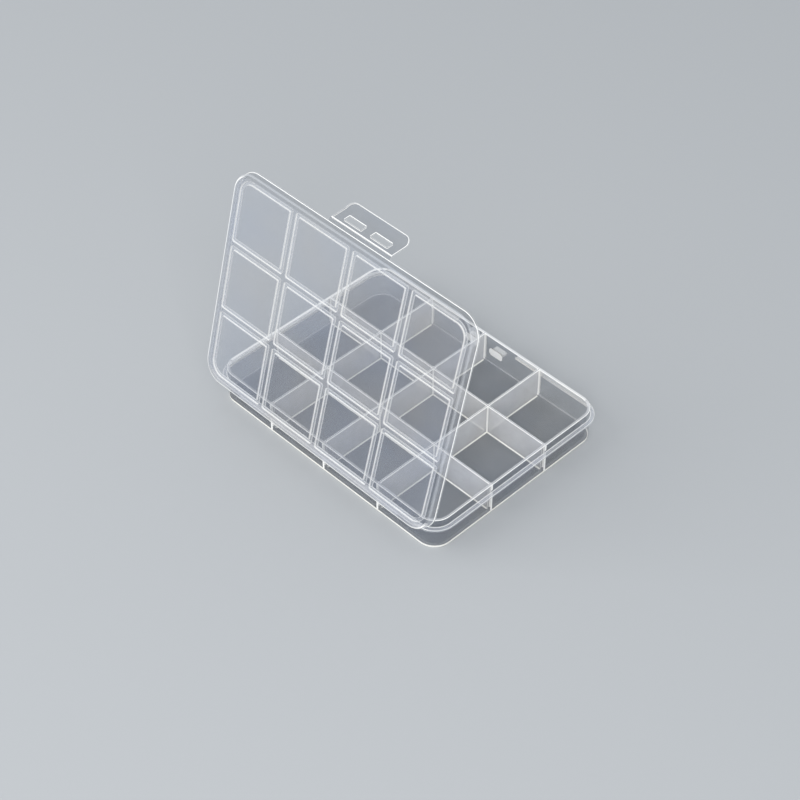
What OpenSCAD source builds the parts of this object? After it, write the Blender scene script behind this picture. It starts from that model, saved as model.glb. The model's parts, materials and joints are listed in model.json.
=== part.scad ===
// Bead organizer box: a divided tray, a lid on a living hinge, and a latch flap
// with two slots that press over two catch lugs.
// X runs along the hinge, Y from the hinge side to the latch side, Z up.
// The origin is the centre of the tray's underside. All sizes are millimetres.

/* [Tray] */
// Length of the tray body, along the hinge
tray_l = 126; // [96:1:160]
// Width of the tray body, from hinge side to latch side
tray_w = 94; // [72:1:130]
// Height of the tray, up to the top of its lip
tray_h = 15.5; // [13:0.5:40]
// Thickness of the outer wall
wall_t = 1.2; // [0.8:0.1:1.6]
// Thickness of the floor
floor_t = 1; // [0.6:0.1:2]
// Outside radius of the four corners
corner_r = 8; // [5:0.5:12]

/* [Compartments] */
// Compartments along the length
columns = 4; // [2:1:6]
// Compartments across the width
rows = 3; // [2:1:4]
// Thickness of the dividers
divider_t = 1; // [0.7:0.1:1.5]

/* [Rim] */
// Height of the lip above the flange round the tray
lip_h = 3.6; // [3.2:0.1:5]
// How far the tray's flange stands out from the wall
flange_w = 2; // [1.6:0.1:3]
// How far the lid's flange stands out from the tray's wall
lid_flange_w = 1.4; // [1.3:0.1:2]
// Thickness of the flanges of tray and lid
flange_t = 0.9; // [0.7:0.1:1.2]

/* [Lid] */
// Thickness of the lid's panel
panel_t = 0.9; // [0.7:0.1:1.5]
// Thickness of the lid's skirt
skirt_t = 0.9; // [0.7:0.1:1.2]
// Gap between the skirt and the tray's lip
skirt_clear = 0.3; // [0.25:0.05:0.4]
// Gap left between lid and tray when the lid is shut
shut_gap = 0.3; // [0.2:0.05:0.5]
// How far each ring reaches down from the panel
ring_h = 0.8; // [0.6:0.1:1.2]
// Thickness of each ring
ring_t = 1.5; // [0.7:0.1:1.8]
// Gap between a ring and the walls of its compartment
ring_clear = 0.5; // [0.5:0.05:1.2]
// Outside radius of a ring's plain corners
ring_r = 0.8; // [0.4:0.1:1.5]

/* [Hinge] */
// Distance from each end of the hinge film to the end of the tray
hinge_inset = 17.25; // [12:0.25:25]
// How far the fold lies outside the tray's flange
hinge_reach = 1.5; // [1.2:0.1:2]
// Thickness of the hinge and latch films
film_t = 0.4; // [0.3:0.05:0.5]
// Length of the stiff bar in the middle of the hinge
hinge_bar_l = 32; // [10:1:44]
// How far the lid is open, from shut
open_angle = 75; // [0:1:180]

/* [Latch] */
// Length of the latch flap
flap_l = 32.4; // [30:0.1:40]
// Depth of the flap's flat part, from its fold
flap_flat = 8.5; // [7.5:0.1:9]
// Depth of the finger lip past the flat part
flap_lip = 3.9; // [3:0.1:5]
// Angle of the finger lip
lip_angle = 25; // [5:1:35]
// Thickness of the flap
flap_t = 0.8; // [0.6:0.1:1]
// Radius of the flap's outer corners
flap_r = 3.5; // [1:0.1:3.5]
// How far the flap's fold lies outside the lid's flange
fold_reach = 0.8; // [0.7:0.1:1.2]
// Distance from the fold to the slots
slot_start = 3.2; // [2.8:0.1:3.6]
// Width of each slot
slot_w = 2.9; // [2.5:0.1:3.2]
// Length of each slot
slot_l = 8.9; // [7:0.1:9.5]
// Distance between the middles of the two slots
slot_pitch = 14; // [12.5:0.1:15]
// Gap between each end of a lug and the end of its slot
lug_end_clear = 1.45; // [0.5:0.05:2]
// Gap above and below a lug in its slot
lug_clear = 0.35; // [0.3:0.05:0.5]
// How far a lug stands out past the latched flap
lug_proud = 0.2; // [0.1:0.05:0.4]
// Angle of the flap away from its latched place
flap_angle = 16; // [0:1:90]

/* [Hidden] */
$fn = 48;
clear_tray = [0.80, 0.83, 0.86, 0.5];
clear_lid = [0.84, 0.87, 0.90, 0.5];
clear_ribs = [0.90, 0.92, 0.94, 0.6];
clear_latch = [0.78, 0.82, 0.86, 0.6];

// Gap between the round of a fold and the film beside it
fold_gap = 0.02;
// Gap between the end of the flap's film and the round of its fold
film_gap = 0.05;
// Gap between each end of the flap and the cut in the tray's flange
flap_end_clear = 0.75;
// Size of the slopes on the nose of a catch lug
lug_slope = 0.6;

cell_l = (tray_l - 2 * wall_t - (columns - 1) * divider_t) / columns;
cell_w = (tray_w - 2 * wall_t - (rows - 1) * divider_t) / rows;
divider_h = tray_h - floor_t;

flange_top = tray_h - lip_h;
lid_flange_z = flange_top + shut_gap;
skirt_z = lid_flange_z + flange_t;
panel_z = tray_h + shut_gap;
skirt_out = skirt_clear + skirt_t;

hinge_l = tray_l - 2 * hinge_inset;
hinge_y = -(tray_w / 2 + flange_w + hinge_reach);
hinge_z = flange_top + shut_gap / 2;
lid_edge_y = -(tray_w / 2 + lid_flange_w);
fold_y = tray_w / 2 + lid_flange_w + fold_reach;
fold_z = lid_flange_z + film_t / 2;

lug_l = slot_l - 2 * lug_end_clear;
lug_h = slot_w - 2 * lug_clear;
lug_out = lid_flange_w + fold_reach + flap_t / 2 + lug_proud;
lug_z = fold_z - slot_start - slot_w / 2;
latch_cut_l = flap_l + 2 * flap_end_clear;

LONG_DIVIDERS = [for (r = [1 : rows - 1]) str("long_divider_", r)];
CROSS_DIVIDERS = [for (c = [1 : columns - 1]) str("cross_divider_", c)];
LID_RINGS = [for (c = [1 : columns], r = [1 : rows]) str("lid_ring_", c, "_", r)];

// Middle of a compartment; columns and rows count from 1
function cell_x(c) = (c - (columns + 1) / 2) * (cell_l + divider_t);
function cell_y(r) = (r - (rows + 1) / 2) * (cell_w + divider_t);

module rounded_rect(l, w, r) {
    square([l - 2 * r, w], center = true);
    square([l, w - 2 * r], center = true);
    for (x = [-1, 1], y = [-1, 1])
        translate([x * (l / 2 - r), y * (w / 2 - r)]) circle(r);
}

// The tray's outline, grown outward by a distance or shrunk by a negative one
module tray_outline(grow) {
    rounded_rect(tray_l + 2 * grow, tray_w + 2 * grow, corner_r + grow);
}

module rim_ring(outer, inner, h) {
    linear_extrude(h) difference() {
        tray_outline(outer);
        tray_outline(inner);
    }
}

// One compartment's outline, shrunk all round; outer corners follow the tray's
module cell_outline(c, r, shrink, corner) {
    intersection() {
        translate([cell_x(c), cell_y(r)])
            rounded_rect(cell_l - 2 * shrink, cell_w - 2 * shrink, corner);
        tray_outline(-wall_t - shrink);
    }
}

module slab(x0, x1, y0, y1, z0, z1) {
    translate([x0, y0, z0]) cube([x1 - x0, y1 - y0, z1 - z0]);
}

// Turns what belongs to the lid from its shut place to where it is open
module on_lid() {
    translate([0, hinge_y, hinge_z])
        rotate([open_angle, 0, 0])
            translate([0, -hinge_y, -hinge_z]) children();
}

// Places the flap, drawn hanging down from the origin with its outside to +Y
module on_flap() {
    on_lid() translate([0, fold_y, fold_z]) rotate([flap_angle, 0, 0]) children();
}

module tray_floor() {
    color(clear_tray) linear_extrude(floor_t) tray_outline(0);
}

module tray_wall() {
    color(clear_tray) translate([0, 0, floor_t]) rim_ring(0, -wall_t, tray_h - floor_t);
}

module tray_flange() {
    color(clear_tray) difference() {
        translate([0, 0, flange_top - flange_t]) rim_ring(flange_w, 0, flange_t);
        slab(-latch_cut_l / 2, latch_cut_l / 2, tray_w / 2 - wall_t, tray_w, 0, tray_h);
    }
}

module long_divider(r) {
    y = (cell_y(r) + cell_y(r + 1)) / 2;
    x = tray_l / 2 - wall_t;
    color(clear_ribs) slab(-x, x, y - divider_t / 2, y + divider_t / 2, floor_t, tray_h);
}

// A cross divider is cut by the long dividers, so it is one piece per row
module cross_divider(c) {
    x = (cell_x(c) + cell_x(c + 1)) / 2;
    for (r = [1 : rows])
        color(clear_ribs) translate([x, cell_y(r), floor_t + divider_h / 2])
            cube([divider_t, cell_w, divider_h], center = true);
}

module catch_lug(side) {
    nose = lug_h / 2 - lug_slope;
    color(clear_ribs) translate([side * slot_pitch / 2 - lug_l / 2, tray_w / 2, lug_z])
        rotate([90, 0, 90]) linear_extrude(lug_l) polygon([
            [0, -lug_h / 2],
            [lug_out - lug_slope, -lug_h / 2],
            [lug_out, -nose],
            [lug_out, nose],
            [lug_out - lug_slope, lug_h / 2],
            [0, lug_h / 2]
        ]);
}

// The tray's half of the hinge film, with the round that the lid turns about
module hinge_film_tray() {
    fold_r = shut_gap / 2 - fold_gap;
    color(clear_ribs) {
        slab(-hinge_l / 2, hinge_l / 2, hinge_y, hinge_y + hinge_reach,
             flange_top - film_t, flange_top);
        slab(-hinge_l / 2, hinge_l / 2, hinge_y, hinge_y + fold_r,
             flange_top - film_t, hinge_z);
        translate([-hinge_l / 2, hinge_y, hinge_z])
            rotate([0, 90, 0]) cylinder(r = fold_r, h = hinge_l);
    }
}

module lid_panel() {
    color(clear_lid) on_lid()
        translate([0, 0, panel_z]) linear_extrude(panel_t) tray_outline(skirt_out);
}

module lid_skirt() {
    color(clear_lid) on_lid()
        translate([0, 0, skirt_z]) rim_ring(skirt_out, skirt_clear, panel_z - skirt_z);
}

module lid_flange() {
    color(clear_lid) on_lid()
        translate([0, 0, lid_flange_z]) rim_ring(lid_flange_w, skirt_clear, flange_t);
}

// A ring under the panel that keeps the beads of one compartment in it
module lid_ring(c, r) {
    color(clear_ribs) on_lid()
        translate([0, 0, panel_z - ring_h]) linear_extrude(ring_h) difference() {
            cell_outline(c, r, ring_clear, ring_r);
            cell_outline(c, r, ring_clear + ring_t, ring_r / 2);
        }
}

module hinge_film_lid() {
    color(clear_ribs) on_lid()
        slab(-hinge_l / 2, hinge_l / 2, hinge_y, lid_edge_y,
             lid_flange_z, lid_flange_z + film_t);
}

// The thicker middle of the lid's half of the hinge
module hinge_bar() {
    color(clear_ribs) on_lid()
        slab(-hinge_bar_l / 2, hinge_bar_l / 2, hinge_y + hinge_reach / 2, lid_edge_y,
             lid_flange_z + film_t, lid_flange_z + flange_t);
}

// The film between the lid's flange and the flap, with the round it folds about
module latch_film() {
    color(clear_latch) on_lid() {
        slab(-flap_l / 2, flap_l / 2, fold_y - fold_reach, fold_y,
             fold_z - film_t / 2, fold_z + film_t / 2);
        translate([-flap_l / 2, fold_y, fold_z])
            rotate([0, 90, 0]) cylinder(r = film_t / 2, h = flap_l);
    }
}

// Section of the flap: film, flat part, and finger lip bent outward
module flap_section() {
    tip_y = flap_lip * sin(lip_angle);
    tip_z = flap_flat + flap_lip * cos(lip_angle);
    film_z = film_t / 2 + film_gap;
    polygon([
        [-film_t / 2, -film_z],
        [film_t / 2, -film_z],
        [film_t / 2, -fold_reach],
        [flap_t / 2, -fold_reach],
        [flap_t / 2, -flap_flat],
        [tip_y + flap_t / 2, -tip_z],
        [tip_y - flap_t / 2, -tip_z],
        [-flap_t / 2, -flap_flat],
        [-flap_t / 2, -fold_reach],
        [-film_t / 2, -fold_reach]
    ]);
}

// Outline of the flap seen from outside: square at the fold, round at the tip
module flap_outline() {
    depth = flap_flat + flap_lip * cos(lip_angle);
    translate([-flap_l / 2, flap_r - depth]) square([flap_l, depth - flap_r]);
    translate([flap_r - flap_l / 2, -depth]) square([flap_l - 2 * flap_r, flap_r]);
    for (x = [-1, 1])
        translate([x * (flap_l / 2 - flap_r), flap_r - depth]) circle(flap_r);
}

module latch_flap() {
    color(clear_latch) on_flap() difference() {
        intersection() {
            translate([-flap_l / 2, 0, 0])
                rotate([90, 0, 90]) linear_extrude(flap_l) flap_section();
            translate([0, flap_flat, 0])
                rotate([90, 0, 0]) linear_extrude(2 * flap_flat) flap_outline();
        }
        for (x = [-1, 1])
            slab(x * slot_pitch / 2 - slot_l / 2, x * slot_pitch / 2 + slot_l / 2,
                 -flap_t, flap_t, -slot_start - slot_w, -slot_start);
    }
}

tray_floor();
tray_wall();
tray_flange();
for (r = [1 : rows - 1]) long_divider(r);
for (c = [1 : columns - 1]) cross_divider(c);
catch_lug(-1);  // catch_lug_left
catch_lug(1);  // catch_lug_right
hinge_film_tray();
lid_panel();
lid_skirt();
lid_flange();
for (c = [1 : columns], r = [1 : rows])
    lid_ring(c, r);
hinge_film_lid();
hinge_bar();
latch_film();
latch_flap();
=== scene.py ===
"""Looks of a clear bead organizer box: tray, lid on a living hinge, and latch flap.

Metres, in the frame of the CAD: X along the hinge, Y from hinge side to latch side, Z up.
The lid and the flap are modelled shut and latched, and then turned to where they stand open.
"""
import json
import math

import bmesh
import bpy
from mathutils import Matrix, Vector

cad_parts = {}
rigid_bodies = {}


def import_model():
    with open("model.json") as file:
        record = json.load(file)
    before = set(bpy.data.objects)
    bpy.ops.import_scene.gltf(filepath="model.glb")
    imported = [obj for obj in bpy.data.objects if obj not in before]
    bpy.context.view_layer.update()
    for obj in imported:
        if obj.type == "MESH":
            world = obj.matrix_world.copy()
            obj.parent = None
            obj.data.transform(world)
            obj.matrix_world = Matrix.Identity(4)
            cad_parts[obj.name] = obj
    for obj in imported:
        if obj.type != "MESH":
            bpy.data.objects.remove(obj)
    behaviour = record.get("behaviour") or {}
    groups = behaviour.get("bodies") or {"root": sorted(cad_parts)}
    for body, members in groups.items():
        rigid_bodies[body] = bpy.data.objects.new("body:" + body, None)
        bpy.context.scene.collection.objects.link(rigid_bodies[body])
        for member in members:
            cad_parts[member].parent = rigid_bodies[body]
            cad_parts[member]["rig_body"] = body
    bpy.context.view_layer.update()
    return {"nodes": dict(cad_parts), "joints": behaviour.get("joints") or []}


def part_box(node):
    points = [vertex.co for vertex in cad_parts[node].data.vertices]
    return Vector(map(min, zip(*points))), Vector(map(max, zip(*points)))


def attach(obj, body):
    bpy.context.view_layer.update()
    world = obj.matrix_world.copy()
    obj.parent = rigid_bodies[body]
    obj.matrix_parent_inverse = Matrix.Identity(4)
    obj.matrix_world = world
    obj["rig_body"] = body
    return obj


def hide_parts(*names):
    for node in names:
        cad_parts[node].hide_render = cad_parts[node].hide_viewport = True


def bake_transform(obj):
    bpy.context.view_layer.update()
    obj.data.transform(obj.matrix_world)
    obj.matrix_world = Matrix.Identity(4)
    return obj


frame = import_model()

MM = 0.001

# ---------------------------------------------------------------- sizes from the frame
JOINTS = {joint["name"]: joint for joint in frame["joints"]}
HINGE = Vector(JOINTS["lid_hinge"]["pos_m"])
OPEN_ANGLE = math.radians(-JOINTS["lid_hinge"]["range_deg"][0])
FLAP_ANGLE = math.radians(-JOINTS["latch_hinge"]["range_deg"][0])

floor_low, floor_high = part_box("tray_floor")
flange_low, flange_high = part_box("tray_flange")
film_low, film_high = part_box("hinge_film_tray")
bar_low, bar_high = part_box("hinge_bar")
flap_low, flap_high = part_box("latch_flap")

TRAY_L = floor_high.x - floor_low.x
TRAY_W = floor_high.y - floor_low.y
TRAY_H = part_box("tray_wall")[1].z
FLOOR_T = floor_high.z
FLANGE_TOP = flange_high.z
FLANGE_T = flange_high.z - flange_low.z
FLANGE_W = flange_high.x - floor_high.x
HINGE_L = film_high.x - film_low.x
HINGE_BAR_L = bar_high.x - bar_low.x
FLAP_L = flap_high.x - flap_low.x


def middles(prefix, axis):
    """Where the dividers of one direction stand, and how thick they are."""
    boxes = [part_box(name) for name in sorted(frame["nodes"]) if name.startswith(prefix)]
    places = [(low[axis] + high[axis]) / 2 for low, high in boxes]
    return places, boxes[0][1][axis] - boxes[0][0][axis]


CROSS_X, DIVIDER_T = middles("cross_divider_", 0)
LONG_Y, _ = middles("long_divider_", 1)

# ---------------------------------------------------------------- sizes of the moulding
CORNER_R = 8 * MM
WALL_T = 1.2 * MM
SHUT_GAP = 0.3 * MM
PANEL_T = 0.9 * MM
SKIRT_CLEAR = 0.3 * MM
SKIRT_OUT = 1.2 * MM
LID_FLANGE_W = 1.4 * MM
RING_CLEAR = 0.5 * MM
RING_T = 1.5 * MM
RING_H = 0.8 * MM
FILM_T = 0.4 * MM
FOLD_REACH = 0.8 * MM
FLAP_T = 0.8 * MM
FLAP_FLAT = 8.5 * MM
FLAP_LIP = 3.9 * MM
FLAP_R = 3.5 * MM
LIP_ANGLE = math.radians(25)
SLOT_START = 3.2 * MM
SLOT_W = 2.9 * MM
SLOT_L = 8.9 * MM
SLOT_PITCH = 14 * MM
LUG_L = 6 * MM
LUG_H = 2.2 * MM
LUG_PROUD = 0.2 * MM
LUG_SLOPE = 0.6 * MM
LUG_CORNER = 0.6 * MM
# How far the painted highlight patch on the inner wall grows beyond a lug.
LUG_PATCH = 0.8 * MM
FLAP_END_CLEAR = 0.75 * MM

# ---------------------------------------------------------------- small rounds and bands
CORNER_STEPS = 12
TIP_STEPS = 10
SMOOTH_ANGLE = 35
SHARP_ANGLE = 50
POCKET_R = 0.5 * MM
FILLET_R = 0.45 * MM
FOOT_R = 0.3 * MM
# The band at the wall's foot that is painted as a highlight line.
FOOT_BAND = 1.2 * MM
ROOT_R = 0.5 * MM
EDGE_R = 0.22 * MM
RIM_R = 0.25 * MM
LID_EDGE_R = 1.3 * MM
RING_EDGE_R = 0.12 * MM
RING_R = 0.8 * MM
FOLD_R = 0.35 * MM
FOLD_STEPS = 8
BAR_START = 0.75 * MM
SLOT_RIM = 0.45 * MM
SLOT_R = 0.2 * MM
# The band at the flap's root that is painted as a highlight.
FLAP_ROOT_BAND = 0.4 * MM
BEND_STEPS = 3
BEND_STEP = 0.5 * MM

# ---------------------------------------------------------------- places that follow
LID_FLANGE_Z = FLANGE_TOP + SHUT_GAP
SKIRT_Z = LID_FLANGE_Z + FLANGE_T
PANEL_Z = TRAY_H + SHUT_GAP
LID_TOP = PANEL_Z + PANEL_T
FOLD_Y = TRAY_W / 2 + LID_FLANGE_W + FOLD_REACH
FOLD_Z = LID_FLANGE_Z + FILM_T / 2
SLOT_Z = -SLOT_START - SLOT_W / 2
LUG_OUT = LID_FLANGE_W + FOLD_REACH + FLAP_T / 2 + LUG_PROUD
LUG_Z = FOLD_Z + SLOT_Z
LUG_X = (-SLOT_PITCH / 2, SLOT_PITCH / 2)
LATCH_CUT = FLAP_L / 2 + FLAP_END_CLEAR

# ---------------------------------------------------------------- how faces are picked
NEAR = 1e-6
FACING = 0.9            # a face's normal looks squarely one way
TOWARDS = 0.5           # it looks mostly that way
SIDEWAYS = 0.1          # it hardly looks up or down
OUTER_SKIN = WALL_T / 4
INNER_SKIN = 1.1 * WALL_T
RIM_SKIN = 1.2 * WALL_T
ROUND_TOP = 0.3         # the share of the lid's round that counts as its top
# The way to the tray's far sides, left and latch side, whose rim, flange and foot get brighter
# painted highlights and glow than the near sides.
FAR_WAY = Vector((-0.7, 0.7, 0))
FAR_FADE = 0.25
# The way to the lid's left and hinge sides, whose round and skirt are painted white and milky
# as painted highlights where they catch the light.
LIT_SIDE_WAY = Vector((-0.6, -0.8, 0))
LIT_SIDE_LEAST = -0.1
LIT_SIDE_FADE = 0.15
HINGE_SIDE = 0.7

# Material slots. EDGE, WARM and RIM paint highlights; MILK, RIB and PANEL are paler copies of
# SHEET that paint glow, and RIB also covers the dividers' sides.
SHEET, MILK, RIB, EDGE, WARM, RIM, PANEL = range(7)


# ---------------------------------------------------------------- mesh helpers
def faces_of(geom):
    return [g for g in geom if isinstance(g, bmesh.types.BMFace) and g.is_valid]


def verts_of(geom):
    return [g for g in geom if isinstance(g, bmesh.types.BMVert) and g.is_valid]


def once(things):
    """Each thing once, in the order in which it came, so that every run is the same."""
    return list(dict.fromkeys(things))


def outline_face(bm, grow, z):
    """The tray's outline, grown by a distance, as one flat face."""
    verts = bmesh.ops.create_grid(bm, x_segments=1, y_segments=1, size=0.5)["verts"]
    size = (TRAY_L + 2 * grow, TRAY_W + 2 * grow, 1)
    bmesh.ops.scale(bm, vec=size, verts=verts)
    bmesh.ops.translate(bm, vec=(0, 0, z), verts=verts)
    bmesh.ops.bevel(bm, geom=verts, offset=CORNER_R + grow, segments=CORNER_STEPS,
                    profile=0.5, affect="VERTICES", material=-1)
    return bm.faces[:][-1]


def from_core(point):
    """From the rectangle that the tray's corners are drawn about, out to a point."""
    core = Vector((TRAY_L / 2 - CORNER_R, TRAY_W / 2 - CORNER_R))
    inner = Vector((max(-core.x, min(core.x, point.x)), max(-core.y, min(core.y, point.y))))
    return point.xy - inner


def outward(point):
    """The outline's outward direction at a point of it."""
    return from_core(point).normalized().to_3d()


def beyond(point):
    """How far a point lies outside the tray's outline; inside, it is negative."""
    return from_core(point).length - CORNER_R


def extrude_rim(bm, edges, down=0.0, out=0.0):
    """Extends a loop of border edges downward or outward, and returns the new loop."""
    made = verts_of(bmesh.ops.extrude_edge_only(bm, edges=edges)["geom"])
    for vert in made:
        vert.co += out * outward(vert.co) - Vector((0, 0, down))
    new = set(made)
    return [e for e in bm.edges if e.is_boundary and e.verts[0] in new and e.verts[1] in new]


def cut(bm, faces, axis, place):
    """Cuts faces along the plane that crosses an axis at a place, and returns them all."""
    geom = once(g for f in faces for g in (f, *f.edges, *f.verts))
    point = Vector((0, 0, 0))
    point[axis] = place
    normal = Vector((0, 0, 0))
    normal[axis] = 1
    made = bmesh.ops.bisect_plane(bm, geom=geom, plane_co=point, plane_no=normal, dist=NEAR)
    return faces_of(made["geom"])


def push(bm, faces, move, hollow=True):
    """Extrudes faces as one region and moves it; move gives a vertex's way."""
    made = bmesh.ops.extrude_face_region(bm, geom=faces)["geom"]
    for vert in verts_of(made):
        vert.co += move(vert.co)
    made = faces_of(made)
    if hollow:
        bmesh.ops.delete(bm, geom=faces, context="FACES")
    return made


def soften(bm, edges, radius, steps, material=None):
    """Rounds edges, and gives the rounds a material slot."""
    made = bmesh.ops.bevel(bm, geom=edges, offset=radius, segments=steps,
                           profile=0.5, affect="EDGES", material=-1, clamp_overlap=False)
    if material is not None:
        for face in made["faces"]:
            face.material_index = material


def sharp(edge):
    return edge.is_manifold and math.degrees(edge.calc_face_angle(0)) > SHARP_ANGLE


def level(edge, z):
    return all(abs(v.co.z - z) < NEAR for v in edge.verts)


def upright(edge):
    return (edge.verts[0].co - edge.verts[1].co).normalized().xy.length < SIDEWAYS


def cells(bm, face, inset):
    """Cuts a flat face into one face per compartment, each drawn in by a distance."""
    faces = [face]
    for x in CROSS_X:
        faces = cut(bm, faces, 0, x)
    for y in LONG_Y:
        faces = cut(bm, faces, 1, y)
    bmesh.ops.inset_individual(bm, faces=faces, thickness=inset, use_even_offset=True)
    return faces


def piece(name, bm, body, replaced):
    """Makes an object of a finished mesh, which rides on a body and stands for CAD nodes."""
    bmesh.ops.recalc_face_normals(bm, faces=bm.faces)
    mesh = bpy.data.meshes.new(name)
    bm.to_mesh(mesh)
    bm.free()
    for face in mesh.polygons:
        face.use_smooth = True
    mesh.set_sharp_from_angle(angle=math.radians(SMOOTH_ANGLE))
    thing = bpy.data.objects.new(name, mesh)
    bpy.context.scene.collection.objects.link(thing)
    for material in FINISHES:
        mesh.materials.append(material)
    normals = thing.modifiers.new("flat_faces_stay_flat", "WEIGHTED_NORMAL")
    normals.keep_sharp = True
    if body:
        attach(thing, body)
    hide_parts(*replaced)
    return thing


# ---------------------------------------------------------------- the tray
def inside_wall(co):
    """True for a point between the tray's outer walls, or on their inner side."""
    return beyond(co) < -WALL_T / 2


def tray_mesh():
    """The tray, from its rim down into the pockets and down the outer wall to its foot."""
    bm = bmesh.new()
    top = outline_face(bm, 0, TRAY_H)
    bmesh.ops.inset_region(bm, faces=[top], thickness=WALL_T - DIVIDER_T / 2,
                           use_boundary=True, use_even_offset=True)
    pockets = cells(bm, top, DIVIDER_T / 2)
    depth = Vector((0, 0, FLOOR_T - TRAY_H))
    push(bm, pockets, lambda co: depth)

    rim = [e for e in bm.edges if e.is_boundary]
    rim = extrude_rim(bm, rim, down=TRAY_H - FLANGE_TOP)
    rim = extrude_rim(bm, rim, down=FLANGE_T)
    rim = extrude_rim(bm, rim, down=FLANGE_TOP - FLANGE_T)
    bmesh.ops.edgeloop_fill(bm, edges=rim)

    cut_ends_of_dividers(bm)
    # The band at the wall's foot is cut out for its painted highlight.
    cut(bm, outer_wall_faces(bm, 0, FLANGE_TOP), 2, FOOT_BAND)
    add_tray_flange(bm)
    add_lugs(bm)
    round_tray(bm)
    paint_tray(bm)
    return bm


def outer_wall_faces(bm, low, high):
    """The outer wall's faces between two heights."""
    return [f for f in bm.faces
            if abs(f.normal.z) < SIDEWAYS
            and low - NEAR < min(v.co.z for v in f.verts)
            and max(v.co.z for v in f.verts) < high + NEAR
            and not inside_wall(f.calc_center_median())
            and f.normal.dot(outward(f.calc_center_median())) > TOWARDS]


def cut_ends_of_dividers(bm):
    """Marks where each divider ends on the outer wall, for a stripe of painted highlight there.
    """
    bmesh.ops.recalc_face_normals(bm, faces=bm.faces)
    faces = outer_wall_faces(bm, 0, TRAY_H)
    for axis, places in ((0, CROSS_X), (1, LONG_Y)):
        other = 1 - axis
        for place in places:
            for side in (-1, 1):
                picked = [f for f in faces if f.is_valid and abs(f.normal[other]) > FACING]
                rest = [f for f in faces if f.is_valid and abs(f.normal[other]) <= FACING]
                faces = rest + cut(bm, picked, axis, place + side * DIVIDER_T / 2)


def add_tray_flange(bm):
    """Draws the flange out of the wall, all round but for where the latch goes."""
    band = outer_wall_faces(bm, FLANGE_TOP - FLANGE_T, FLANGE_TOP)
    back = [f for f in band if f.normal.y > FACING]
    rest = [f for f in band if f.normal.y <= FACING]
    for side in (-1, 1):
        back = cut(bm, back, 0, side * LATCH_CUT)
    back = [f for f in back if abs(f.calc_center_median().x) > LATCH_CUT]
    push(bm, rest + back, lambda co: FLANGE_W * outward(co))


def behind_lug(co, middle):
    """True for a point of the latch side's wall that is level with a lug."""
    return abs(co.x - middle) < LUG_L / 2 and abs(co.z - LUG_Z) < LUG_H / 2


def lug_faces(faces):
    """The faces whose middle is the middle of a lug."""
    middles_of = [(f, f.calc_center_median()) for f in faces if f.is_valid]
    return [f for f, co in middles_of
            if abs(co.z - LUG_Z) < LUG_H / 4 and any(abs(co.x - x) < LUG_H / 4 for x in LUG_X)]


def cut_round_lugs(bm, faces, more=0):
    """Cuts the outlines of the lugs, grown by a distance, into faces of the wall."""
    for middle in LUG_X:
        for side in (-1, 1):
            faces = cut(bm, faces, 0, middle + side * (LUG_L / 2 + more))
    for side in (-1, 1):
        faces = cut(bm, faces, 2, LUG_Z + side * (LUG_H / 2 + more))
    return faces


def eight_sided(bm, faces, corner):
    """Cuts the corners of faces."""
    bmesh.ops.bevel(bm, geom=[v for f in faces for v in f.verts], offset=corner, segments=1,
                    profile=0.5, affect="VERTICES", material=-1, clamp_overlap=False)


def latch_wall(bm):
    """The outer side of the wall that carries the lugs."""
    return [f for f in outer_wall_faces(bm, 0, FLANGE_TOP) if f.normal.y > FACING]


def add_lugs(bm):
    """Two lugs on the wall below the latch, and a patch of their outline on its inner side,
    which is later painted as a highlight standing for the lug seen through the wall.
    """
    inner_y = TRAY_W / 2 - WALL_T
    inner = [f for f in bm.faces if f.normal.y < -FACING
             and abs(f.calc_center_median().y - inner_y) < 10 * NEAR]
    eight_sided(bm, lug_faces(cut_round_lugs(bm, inner, LUG_PATCH)), LUG_CORNER + LUG_PATCH / 2)
    eight_sided(bm, lug_faces(cut_round_lugs(bm, latch_wall(bm))), LUG_CORNER)
    bmesh.ops.recalc_face_normals(bm, faces=bm.faces)
    wall = latch_wall(bm)
    out = Vector((0, 1, 0))
    for middle in LUG_X:
        lug = [f for f in lug_faces(wall) if behind_lug(f.calc_center_median(), middle)]
        lug = push(bm, lug, lambda co: out * (LUG_OUT - LUG_SLOPE))
        lug = push(bm, lug, lambda co: out * LUG_SLOPE)
        for vert in once(v for f in lug for v in f.verts):
            vert.co.z = LUG_Z + (vert.co.z - LUG_Z) * (1 - 2 * LUG_SLOPE / LUG_H)


def round_tray(bm):
    """Rounds the tray's edges, and gives the rounds a painted highlight, warm at the divider
    feet, that most of them keep.
    """
    bmesh.ops.recalc_face_normals(bm, faces=bm.faces)
    soften(bm, [e for e in bm.edges if sharp(e) and upright(e)
                and inside_wall(e.verts[0].co)], POCKET_R, 3, EDGE)
    soften(bm, [e for e in bm.edges if sharp(e) and level(e, 0)], FOOT_R, 4, EDGE)
    soften(bm, [e for e in bm.edges if sharp(e) and level(e, FLOOR_T)], FILLET_R, 3, WARM)
    soften(bm, [e for e in bm.edges if sharp(e) and level(e, TRAY_H)], RIM_R, 2, EDGE)
    for z in (FLANGE_TOP, FLANGE_TOP - FLANGE_T):
        soften(bm, [e for e in bm.edges if sharp(e) and level(e, z)
                    and beyond((e.verts[0].co + e.verts[1].co) / 2) > FLANGE_W / 2],
               EDGE_R, 2, EDGE)
    soften(bm, [e for e in bm.edges if sharp(e) and level(e, FLANGE_TOP)
                and beyond(e.verts[0].co) < NEAR], ROOT_R, 2, EDGE)


def paint_tray(bm):
    """Gives every face its finish by where it lies, which paints the tray's highlights and
    milky glow.
    """
    bmesh.ops.recalc_face_normals(bm, faces=bm.faces)
    for face in bm.faces:
        face.material_index = tray_finish_and_painted_light(face, face.calc_center_median())


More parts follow.
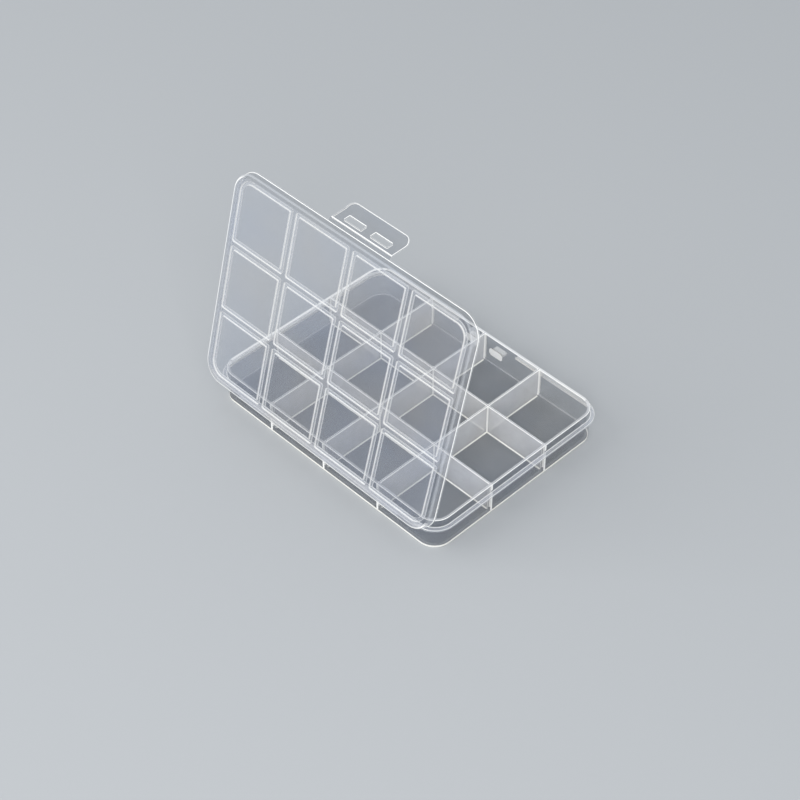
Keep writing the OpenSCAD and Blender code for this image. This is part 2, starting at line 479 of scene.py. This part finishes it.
def tray_finish_and_painted_light(face, co):
    """The finish of one face, from the slot it has and from its place: clear sheet, painted
    highlights and painted milky glow, brighter on the far sides.
    """
    out = beyond(co)
    way = outward(co)
    far = way.dot(FAR_WAY)
    on_side = abs(face.normal.z) < SIDEWAYS
    # Fillets at the divider feet are warm painted highlight lines; those next to the outer wall
    # stay clear.
    if face.material_index == WARM:
        next_to_wall = out > -WALL_T - 1.5 * FILLET_R
        return SHEET if next_to_wall else WARM
    if face.material_index == EDGE:
        return highlight_of_tray_round(co, out, way, far)
    # Tops of the rim and dividers are painted as pale highlights, brighter on the far sides'
    # rim.
    if face.normal.z > FACING and co.z > TRAY_H - NEAR:
        return far_side_highlight(way) if far > TOWARDS and out > -WALL_T else RIB
    # The dividers' sides take the paler rib finish.
    if on_side and co.z > FLOOR_T and out < -INNER_SKIN:
        return RIB
    # On the inner latch wall, the patch in front of each lug is a painted highlight that stands
    # for the lug seen through the wall.
    if on_side and co.y > 0 and out < -WALL_T / 2:
        return EDGE if any(behind_lug(co, x) for x in LUG_X) else SHEET
    # Lugs and the flange by the latch are painted as highlights; the rest of the flange is
    # painted milky glow, brighter on the far sides.
    if out > OUTER_SKIN and co.z < FLANGE_TOP + NEAR:
        on_lug = co.z < FLANGE_TOP - FLANGE_T - NEAR
        by_latch = co.y > TRAY_W / 2 and abs(co.x) < CROSS_X[-1]
        if on_lug or by_latch:
            return EDGE
        return far_side_highlight(way) if far > TOWARDS else MILK
    # A band at the wall's foot is painted as a highlight line: warm on the near sides, milky on
    # the far sides, with steps between.
    if on_side and out > -OUTER_SKIN and co.z < FOOT_BAND:
        if far > FAR_FADE:
            return MILK if far > TOWARDS else RIB
        return RIM if far > 0 else WARM
    # Stripes where dividers end are painted highlights.
    if on_side and out > -NEAR and end_of_divider(face, co):
        return EDGE
    return SHEET


def highlight_of_tray_round(co, out, way, far):
    """The painted highlight of a rounded edge: bright, and duller on some sides."""
    # The foot's round is a duller painted highlight on the far sides.
    if co.z < FOOT_R and far > FAR_FADE and out > -OUTER_SKIN:
        return RIB if far > TOWARDS else RIM
    # The inner rim and the right side's rounds are duller painted highlights, and the inner
    # part of the flange's root stays clear but for the latch side.
    inner_rim = -RIM_SKIN < out < -WALL_T / 2 and co.z > TRAY_H - RIM_R
    if inner_rim and far <= TOWARDS:
        return RIB
    if out > OUTER_SKIN and way.x > TOWARDS:
        return RIM
    on_root = 0 < out < ROOT_R / 3 and co.z > FLANGE_TOP - NEAR
    return SHEET if on_root and co.y < TRAY_W / 2 else EDGE


def far_side_highlight(way):
    """The painted highlight of rim and flange on the far sides: brighter on the left one."""
    return EDGE if way.x < -TOWARDS else RIM


def end_of_divider(face, co):
    """True for a stripe of the outer wall behind which a divider ends, painted as a highlight.
    """
    across = [abs(co.x - x) for x in CROSS_X] if abs(face.normal.y) > FACING else []
    along = [abs(co.y - y) for y in LONG_Y] if abs(face.normal.x) > FACING else []
    return any(gap < DIVIDER_T / 2 for gap in across + along)


# ---------------------------------------------------------------- the lid
def on_lid(bm):
    """Turns a mesh from the shut lid's place to where the lid stands open."""
    turn = Matrix.Rotation(OPEN_ANGLE, 3, "X")
    bmesh.ops.rotate(bm, cent=HINGE, matrix=turn, verts=bm.verts)


def lid_mesh():
    """The lid as it lies shut, from the top of its panel round to the rings under it."""
    bm = bmesh.new()
    top = outline_face(bm, SKIRT_OUT, LID_TOP)
    rim = list(top.edges)
    rim = extrude_rim(bm, rim, down=LID_TOP - SKIRT_Z)
    rim = extrude_rim(bm, rim, out=LID_FLANGE_W - SKIRT_OUT)
    rim = extrude_rim(bm, rim, down=FLANGE_T)
    rim = extrude_rim(bm, rim, out=SKIRT_CLEAR - LID_FLANGE_W)
    rim = extrude_rim(bm, rim, down=LID_FLANGE_Z - PANEL_Z)
    under = bmesh.ops.edgeloop_fill(bm, edges=rim)["faces"]
    bmesh.ops.inset_region(bm, faces=under, thickness=SKIRT_CLEAR + WALL_T - DIVIDER_T / 2,
                           use_even_offset=True)
    rooms = cells(bm, under[0], DIVIDER_T / 2 + RING_CLEAR)
    rings = bmesh.ops.inset_individual(bm, faces=rooms, thickness=RING_T,
                                       use_even_offset=True)["faces"]
    drop = Vector((0, 0, -RING_H))
    push(bm, rings, lambda co: drop)
    round_lid(bm)
    on_lid(bm)
    return bm


def round_lid(bm):
    """Rounds the lid's edges: the rings' corners first, which are wider outside than inside."""
    bmesh.ops.recalc_face_normals(bm, faces=bm.faces)
    ring_z = PANEL_Z - RING_H
    posts = [e for e in bm.edges if sharp(e) and upright(e) and inside_wall(e.verts[0].co)
             and min(v.co.z for v in e.verts) < ring_z + NEAR]
    inner = [e for e in posts if not e.is_convex]
    soften(bm, [e for e in posts if e.is_convex], RING_R, 3)
    soften(bm, [e for e in inner if e.is_valid], RING_R / 2, 3)
    soften(bm, [e for e in bm.edges if sharp(e) and level(e, LID_TOP)], LID_EDGE_R, 6)
    # The rings' tips and the lid flange's rounds are painted highlights, the rings' roots a
    # paler painted glow.
    soften(bm, [e for e in bm.edges if sharp(e) and level(e, ring_z)], RING_EDGE_R, 2, EDGE)
    under = [e for e in bm.edges if sharp(e) and level(e, PANEL_Z)]
    soften(bm, [e for e in under if inside_wall(e.verts[0].co)], RING_EDGE_R, 2, RIB)
    soften(bm, [e for e in under if e.is_valid and not inside_wall(e.verts[0].co)],
           FILLET_R, 3)
    for z in (LID_FLANGE_Z, SKIRT_Z):
        soften(bm, [e for e in bm.edges if sharp(e) and level(e, z)
                    and beyond(e.verts[0].co) > SKIRT_OUT + NEAR], EDGE_R, 2, EDGE)
    paint_lid(bm)


def paint_lid(bm):
    """Gives every face its finish by where it lies on the shut lid: the rings' sides are
    painted highlights, their tips and the panel painted glow.
    """
    bm.normal_update()
    for face in bm.faces:
        co = face.calc_center_median()
        if face.material_index == SHEET and inside_wall(co):
            # The panel is painted paler than the tray's sheet, as glow of the stacked layers;
            # the rings' sides are painted highlights and their tips milky glow.
            if co.z > PANEL_Z - NEAR:
                face.material_index = PANEL
            else:
                on_side = abs(face.normal.z) < TOWARDS
                face.material_index = EDGE if on_side else MILK
        elif face.material_index == SHEET:
            face.material_index = lid_edge_painted_light(co, face.normal)


def lid_edge_painted_light(co, normal):
    """The painted light of the panel's round, the skirt and the flange: on the left and hinge
    sides, where the round catches the light, it is painted as a white highlight that fades
    round the corners, and the hinge side and inner skirt are painted with milky glow.
    """
    out = outward(co)
    lit_side = out.dot(LIT_SIDE_WAY)
    if co.z > LID_TOP - LID_EDGE_R and 0 < normal.z < 0.99:
        upper = co.z > LID_TOP - LID_EDGE_R * ROUND_TOP
        if lit_side > LIT_SIDE_LEAST:
            return EDGE if upper else RIB
        if lit_side > LIT_SIDE_LEAST - LIT_SIDE_FADE:
            return RIM if upper else RIB
        if lit_side > LIT_SIDE_LEAST - 2 * LIT_SIDE_FADE:
            return RIB
        return SHEET if upper else MILK
    # The hinge side is painted with milky glow.
    if out.y < -HINGE_SIDE:
        return RIB
    if lit_side > LIT_SIDE_LEAST:
        return MILK
    inner = beyond(co) < SKIRT_OUT - NEAR or co.z < SKIRT_Z
    return MILK if inner and co.z < PANEL_Z - NEAR and out.y < HINGE_SIDE else SHEET


# ---------------------------------------------------------------- films and flap
def strip_face(bm, length, cuts, height, y, z):
    """An upright face along X, cut across at the given places, to draw a film from."""
    verts = bmesh.ops.create_grid(bm, x_segments=1, y_segments=1, size=0.5)["verts"]
    bmesh.ops.rotate(bm, matrix=Matrix.Rotation(math.radians(90), 3, "X"), verts=verts)
    bmesh.ops.scale(bm, vec=(length, 1, height), verts=verts)
    bmesh.ops.translate(bm, vec=(0, y, z), verts=verts)
    faces = list(bm.faces)
    for place in cuts:
        faces = cut(bm, faces, 0, place)
    return faces


def lengthen(bm, faces, way, hollow=True):
    """Draws a strip's end straight on."""
    return push(bm, faces, lambda co: way, hollow)


def fold(bm, faces, centre, angle):
    """Draws a strip's end round a fold along X."""
    for _ in range(FOLD_STEPS):
        end = bmesh.ops.extrude_face_region(bm, geom=faces)["geom"]
        bmesh.ops.delete(bm, geom=faces, context="FACES")
        turn = Matrix.Rotation(angle / FOLD_STEPS, 3, "X")
        bmesh.ops.rotate(bm, cent=centre, matrix=turn, verts=verts_of(end))
        faces = faces_of(end)
    return faces


def hinge_film_mesh():
    """One strip from the tray's flange, round the fold, up to the lid's flange."""
    bm = bmesh.new()
    half_bar = HINGE_BAR_L / 2
    start_y = -(TRAY_W / 2 + FLANGE_W)
    end = strip_face(bm, HINGE_L, (-half_bar, half_bar), FILM_T, start_y,
                     FLANGE_TOP - FILM_T / 2)
    end = lengthen(bm, end, Vector((0, HINGE.y - start_y, 0)), hollow=False)
    end = fold(bm, end, HINGE, OPEN_ANGLE - math.pi)
    way = Matrix.Rotation(OPEN_ANGLE, 3, "X") @ Vector((0, 1, 0))
    lid_edge = -(TRAY_W / 2 + LID_FLANGE_W)
    end = lengthen(bm, end, way * BAR_START)
    before = set(bm.faces)
    lengthen(bm, end, way * (lid_edge - HINGE.y - BAR_START))
    bmesh.ops.recalc_face_normals(bm, faces=bm.faces)
    out = Matrix.Rotation(OPEN_ANGLE, 3, "X") @ Vector((0, 0, 1))
    bar = [f for f in bm.faces if f not in before and f.normal.dot(out) > FACING
           and abs(f.calc_center_median().x) < half_bar]
    push(bm, bar, lambda co: out * (FLANGE_T - FILM_T))
    bmesh.ops.recalc_face_normals(bm, faces=bm.faces)
    # The whole film is painted milky glow, and its long edges are painted highlights.
    for face in bm.faces:
        face.material_index = MILK
    soften(bm, [e for e in bm.edges if sharp(e) and e.calc_length() > HINGE_BAR_L / 2],
           EDGE_R / 2, 2, EDGE)
    return bm


def latch_film_mesh():
    """The thin film from the lid's flange, round its fold, down to the flap."""
    bm = bmesh.new()
    bend = math.pi / 2 - FLAP_ANGLE
    back = FOLD_R * math.tan(bend / 2)
    start_y = FOLD_Y - FOLD_REACH
    end = strip_face(bm, FLAP_L, (), FILM_T, start_y, FOLD_Z)
    end = lengthen(bm, end, Vector((0, FOLD_REACH - back, 0)), hollow=False)
    end = fold(bm, end, (0, FOLD_Y - back, FOLD_Z - FOLD_R), -bend)
    way = Matrix.Rotation(FLAP_ANGLE, 3, "X") @ Vector((0, 0, -1))
    lengthen(bm, end, way * (FOLD_REACH - back))
    on_lid(bm)
    return bm


def at_slot(face):
    """True for a face of the flat flap whose middle is the middle of a slot."""
    co = face.calc_center_median()
    return abs(abs(co.x) - SLOT_PITCH / 2) < SLOT_RIM and abs(co.z - SLOT_Z) < SLOT_RIM


def flap_mesh():
    """The flap, drawn flat and hanging, with its slots, its round tip and its lip."""
    bm = bmesh.new()
    depth = FLAP_FLAT + FLAP_LIP - FOLD_REACH
    faces = strip_face(bm, FLAP_L, (), depth, -FLAP_T / 2, -FOLD_REACH - depth / 2)
    tips = [v for v in bm.verts if v.co.z < -FLAP_FLAT]
    bmesh.ops.bevel(bm, geom=tips, offset=FLAP_R, segments=TIP_STEPS, profile=0.5,
                    affect="VERTICES", material=-1)
    faces = list(bm.faces)
    for z in (-SLOT_START + SLOT_RIM, -SLOT_START - SLOT_W - SLOT_RIM):
        faces = cut(bm, faces, 2, z)
    band = [f for f in faces if abs(f.calc_center_median().z - SLOT_Z) < SLOT_W / 2]
    for x in LUG_X:
        for side in (-1, 1):
            band = cut(bm, band, 0, x + side * (SLOT_L / 2 + SLOT_RIM))
    slots = [f for f in band if at_slot(f)]
    bmesh.ops.inset_individual(bm, faces=slots, thickness=SLOT_RIM, use_even_offset=True)
    corners = once(v for f in slots for v in f.verts)
    bmesh.ops.bevel(bm, geom=corners, offset=SLOT_R, segments=2, profile=0.5,
                    affect="VERTICES", material=-1)
    bmesh.ops.delete(bm, geom=[f for f in bm.faces if at_slot(f)], context="FACES")
    faces = list(bm.faces)
    for step in range(BEND_STEPS):
        faces = cut(bm, faces, 2, -FLAP_FLAT - (step - 1) * BEND_STEP)
    faces = cut(bm, faces, 2, -FOLD_REACH - FLAP_ROOT_BAND)
    thick = Vector((0, FLAP_T, 0))
    push(bm, faces, lambda co: thick, hollow=False)
    turn = Matrix.Rotation(LIP_ANGLE / BEND_STEPS, 3, "X")
    tip = [v for v in bm.verts if v.co.z < -FLAP_FLAT + BEND_STEP - NEAR]
    for step in range(BEND_STEPS):
        place = -FLAP_FLAT - (step - 1) * BEND_STEP
        tip = [v for v in tip if v.co.z < place - NEAR]
        bmesh.ops.rotate(bm, cent=(0, 0, place), matrix=turn, verts=tip)
    bmesh.ops.recalc_face_normals(bm, faces=bm.faces)
    # The flap's rounds and the band at its root are painted highlights.
    soften(bm, [e for e in bm.edges if sharp(e)], EDGE_R, 2, EDGE)
    for face in bm.faces:
        if face.calc_center_median().z > -FOLD_REACH - FLAP_ROOT_BAND:
            face.material_index = EDGE
    bmesh.ops.rotate(bm, matrix=Matrix.Rotation(FLAP_ANGLE, 3, "X"), verts=bm.verts)
    bmesh.ops.translate(bm, vec=(0, FOLD_Y, FOLD_Z), verts=bm.verts)
    on_lid(bm)
    return bm


# ---------------------------------------------------------------- materials
CLOUD_SCALE = 30
FLOW_SCALE = 140
SPECK_SCALE = 1600
FLOW_BUMP = 0.1
FLOW_DEPTH = 0.1 * MM
COVER_LOW, COVER_HIGH = 0.92, 1.08
GLOSS_LOW, GLOSS_HIGH = 0.85, 1.2
PLASTIC_IOR = 1.49


def shader_nodes(material):
    material.use_nodes = True
    material.node_tree.nodes.clear()
    return material.node_tree.nodes, material.node_tree.links


def noise(nodes, place, scale, detail):
    texture = nodes.new("ShaderNodeTexNoise")
    texture.inputs["Scale"].default_value = scale
    texture.inputs["Detail"].default_value = detail
    nodes.id_data.links.new(place.outputs["Object"], texture.inputs["Vector"])
    return texture.outputs["Fac"]


def spread(nodes, value, low, high):
    """Maps the middle half of a noise to a range."""
    ramp = nodes.new("ShaderNodeMapRange")
    ramp.inputs["From Min"].default_value = 0.25
    ramp.inputs["From Max"].default_value = 0.75
    ramp.inputs["To Min"].default_value = low
    ramp.inputs["To Max"].default_value = high
    nodes.id_data.links.new(value, ramp.inputs["Value"])
    return ramp.outputs["Result"]


def clear_plastic(name, warm, cool, cover, roughness):
    """Milky polypropylene, clouded from a warm to a cool colour.

    Cover is the share of what lies behind that one face hides.
    """
    material = bpy.data.materials.new(name)
    nodes, links = shader_nodes(material)
    place = nodes.new("ShaderNodeTexCoord")
    cloud = noise(nodes, place, CLOUD_SCALE, 2)
    flow = noise(nodes, place, FLOW_SCALE, 4)
    speck = noise(nodes, place, SPECK_SCALE, 2)

    tint = nodes.new("ShaderNodeMix")
    tint.data_type = "RGBA"
    tint.inputs["A"].default_value = (*warm, 1)
    tint.inputs["B"].default_value = (*cool, 1)
    links.new(spread(nodes, cloud, 0, 1), tint.inputs["Factor"])

    bump = nodes.new("ShaderNodeBump")
    bump.inputs["Strength"].default_value = FLOW_BUMP
    bump.inputs["Distance"].default_value = FLOW_DEPTH
    links.new(flow, bump.inputs["Height"])

    plastic = nodes.new("ShaderNodeBsdfPrincipled")
    plastic.inputs["IOR"].default_value = PLASTIC_IOR
    links.new(tint.outputs["Result"], plastic.inputs["Base Color"])
    links.new(spread(nodes, flow, cover * COVER_LOW, cover * COVER_HIGH),
              plastic.inputs["Alpha"])
    links.new(spread(nodes, speck, roughness * GLOSS_LOW, roughness * GLOSS_HIGH),
              plastic.inputs["Roughness"])
    links.new(bump.outputs["Normal"], plastic.inputs["Normal"])

    out = nodes.new("ShaderNodeOutputMaterial")
    links.new(plastic.outputs["BSDF"], out.inputs["Surface"])
    return material


# Apart from the clear sheet, these are paler copies of the one plastic that carry painted
# light: the edge, warm foot and rim finishes are painted highlights, the milky sheet and the
# panel are painted glow of stacked layers, and the rib is the dividers' paler look and painted
# glow elsewhere.
# Name, warm colour, cool colour, cover and roughness, in the order of SHEET to PANEL
FINISHES = (
    clear_plastic("clear_sheet", (0.16, 0.16, 0.16), (0.11, 0.14, 0.20), 0.18, 0.25),
    clear_plastic("milky_sheet_and_painted_glow", (0.66, 0.66, 0.66), (0.60, 0.63, 0.70), 0.32, 0.25),
    clear_plastic("milky_rib_and_painted_glow", (0.80, 0.78, 0.75), (0.76, 0.77, 0.81), 0.46, 0.3),
    clear_plastic("painted_highlight_edge", (1.00, 0.98, 0.94), (0.98, 0.97, 0.95), 0.92, 0.3),
    clear_plastic("warm_painted_highlight", (0.98, 0.95, 0.87), (0.96, 0.95, 0.91), 0.9, 0.3),
    clear_plastic("dim_painted_highlight", (0.92, 0.90, 0.86), (0.88, 0.88, 0.89), 0.72, 0.3),
    clear_plastic("panel_with_painted_glow", (0.34, 0.34, 0.35), (0.26, 0.30, 0.39), 0.19, 0.25),
)

FILMS = ("hinge_film_tray", "hinge_film_lid", "hinge_bar", "latch_film")


def nodes_of(body):
    """The nodes of a body that its moulding stands for: all but the films."""
    return [n for n, o in sorted(frame["nodes"].items())
            if o["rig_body"] == body and n not in FILMS]


# ---------------------------------------------------------------- the pieces on their bodies
piece("tray_moulding", tray_mesh(), "tray", nodes_of("tray"))
piece("lid_moulding", lid_mesh(), "lid", nodes_of("lid"))
piece("latch_flap_moulding", flap_mesh(), "latch", ["latch_flap"])

hinge_film = piece("hinge_film", hinge_film_mesh(), None,
                   ["hinge_film_tray", "hinge_film_lid", "hinge_bar"])
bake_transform(hinge_film)

latch_fold = piece("latch_fold", latch_film_mesh(), None, ["latch_film"])
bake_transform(latch_fold)


# ---------------------------------------------------------------- camera, floor and light
VIEW_AZIMUTH = math.radians(45.53)
VIEW_ELEVATION = math.radians(44.22)
VIEW_DISTANCE = 829.1 * MM
LOOK_AT = Vector((-7.40 * MM, 3.35 * MM, 0))
LENS_MM = 89.29
SENSOR_MM = 36
CLIP_START = 0.01
CLIP_END = 20
WINDOW_PLACE = (-0.7, -1.2, 1.1)
FILL_PLACE = (1.0, -0.95, 1.0)
FLOOR_HALF = 3
FLOOR_DROP = 0.05 * MM
FLOOR_COLOUR = (0.42, 0.43, 0.44, 1)
FLOOR_ROUGHNESS = 0.7
WORLD_COLOUR = (0.9, 0.95, 1.0, 1)
WORLD_STRENGTH = 0.75


def add_camera():
    """The camera at the photo's angle, with the lens that the photo's lines fit."""
    back = Vector((math.sin(VIEW_AZIMUTH) * math.cos(VIEW_ELEVATION),
                   -math.cos(VIEW_AZIMUTH) * math.cos(VIEW_ELEVATION),
                   math.sin(VIEW_ELEVATION)))
    data = bpy.data.cameras.new("camera")
    data.lens = LENS_MM
    data.sensor_width = SENSOR_MM
    data.clip_start = CLIP_START
    data.clip_end = CLIP_END
    camera = bpy.data.objects.new("camera", data)
    bpy.context.scene.collection.objects.link(camera)
    camera.rotation_mode = "QUATERNION"
    camera.rotation_quaternion = (-back).to_track_quat("-Z", "Y")
    camera.location = LOOK_AT + back * VIEW_DISTANCE
    bpy.context.scene.camera = camera


def add_lamp(name, place, size, power):
    """A square soft lamp that looks at the box."""
    data = bpy.data.lights.new(name, "AREA")
    data.size = size
    data.energy = power
    lamp = bpy.data.objects.new(name, data)
    bpy.context.scene.collection.objects.link(lamp)
    lamp.location = place
    lamp.rotation_mode = "QUATERNION"
    lamp.rotation_quaternion = (-Vector(place)).to_track_quat("-Z", "Y")


def add_floor():
    bm = bmesh.new()
    bmesh.ops.create_grid(bm, x_segments=1, y_segments=1, size=FLOOR_HALF)
    bmesh.ops.translate(bm, vec=(0, 0, -FLOOR_DROP), verts=bm.verts)
    mesh = bpy.data.meshes.new("floor")
    bm.to_mesh(mesh)
    bm.free()
    floor = bpy.data.objects.new("floor", mesh)
    bpy.context.scene.collection.objects.link(floor)
    material = bpy.data.materials.new("pale_floor")
    nodes, links = shader_nodes(material)
    card = nodes.new("ShaderNodeBsdfPrincipled")
    card.inputs["Base Color"].default_value = FLOOR_COLOUR
    card.inputs["Roughness"].default_value = FLOOR_ROUGHNESS
    out = nodes.new("ShaderNodeOutputMaterial")
    links.new(card.outputs["BSDF"], out.inputs["Surface"])
    mesh.materials.append(material)


def add_world():
    world = bpy.data.worlds.new("studio")
    bpy.context.scene.world = world
    world.use_nodes = True
    shade = world.node_tree.nodes["Background"]
    shade.inputs["Color"].default_value = WORLD_COLOUR
    shade.inputs["Strength"].default_value = WORLD_STRENGTH


add_camera()
add_floor()
add_world()
add_lamp("window", WINDOW_PLACE, size=1.2, power=15)
add_lamp("fill", FILL_PLACE, size=1.0, power=14)
bpy.context.scene.view_settings.view_transform = "Standard"
bpy.context.scene.cycles.transparent_max_bounces = 32
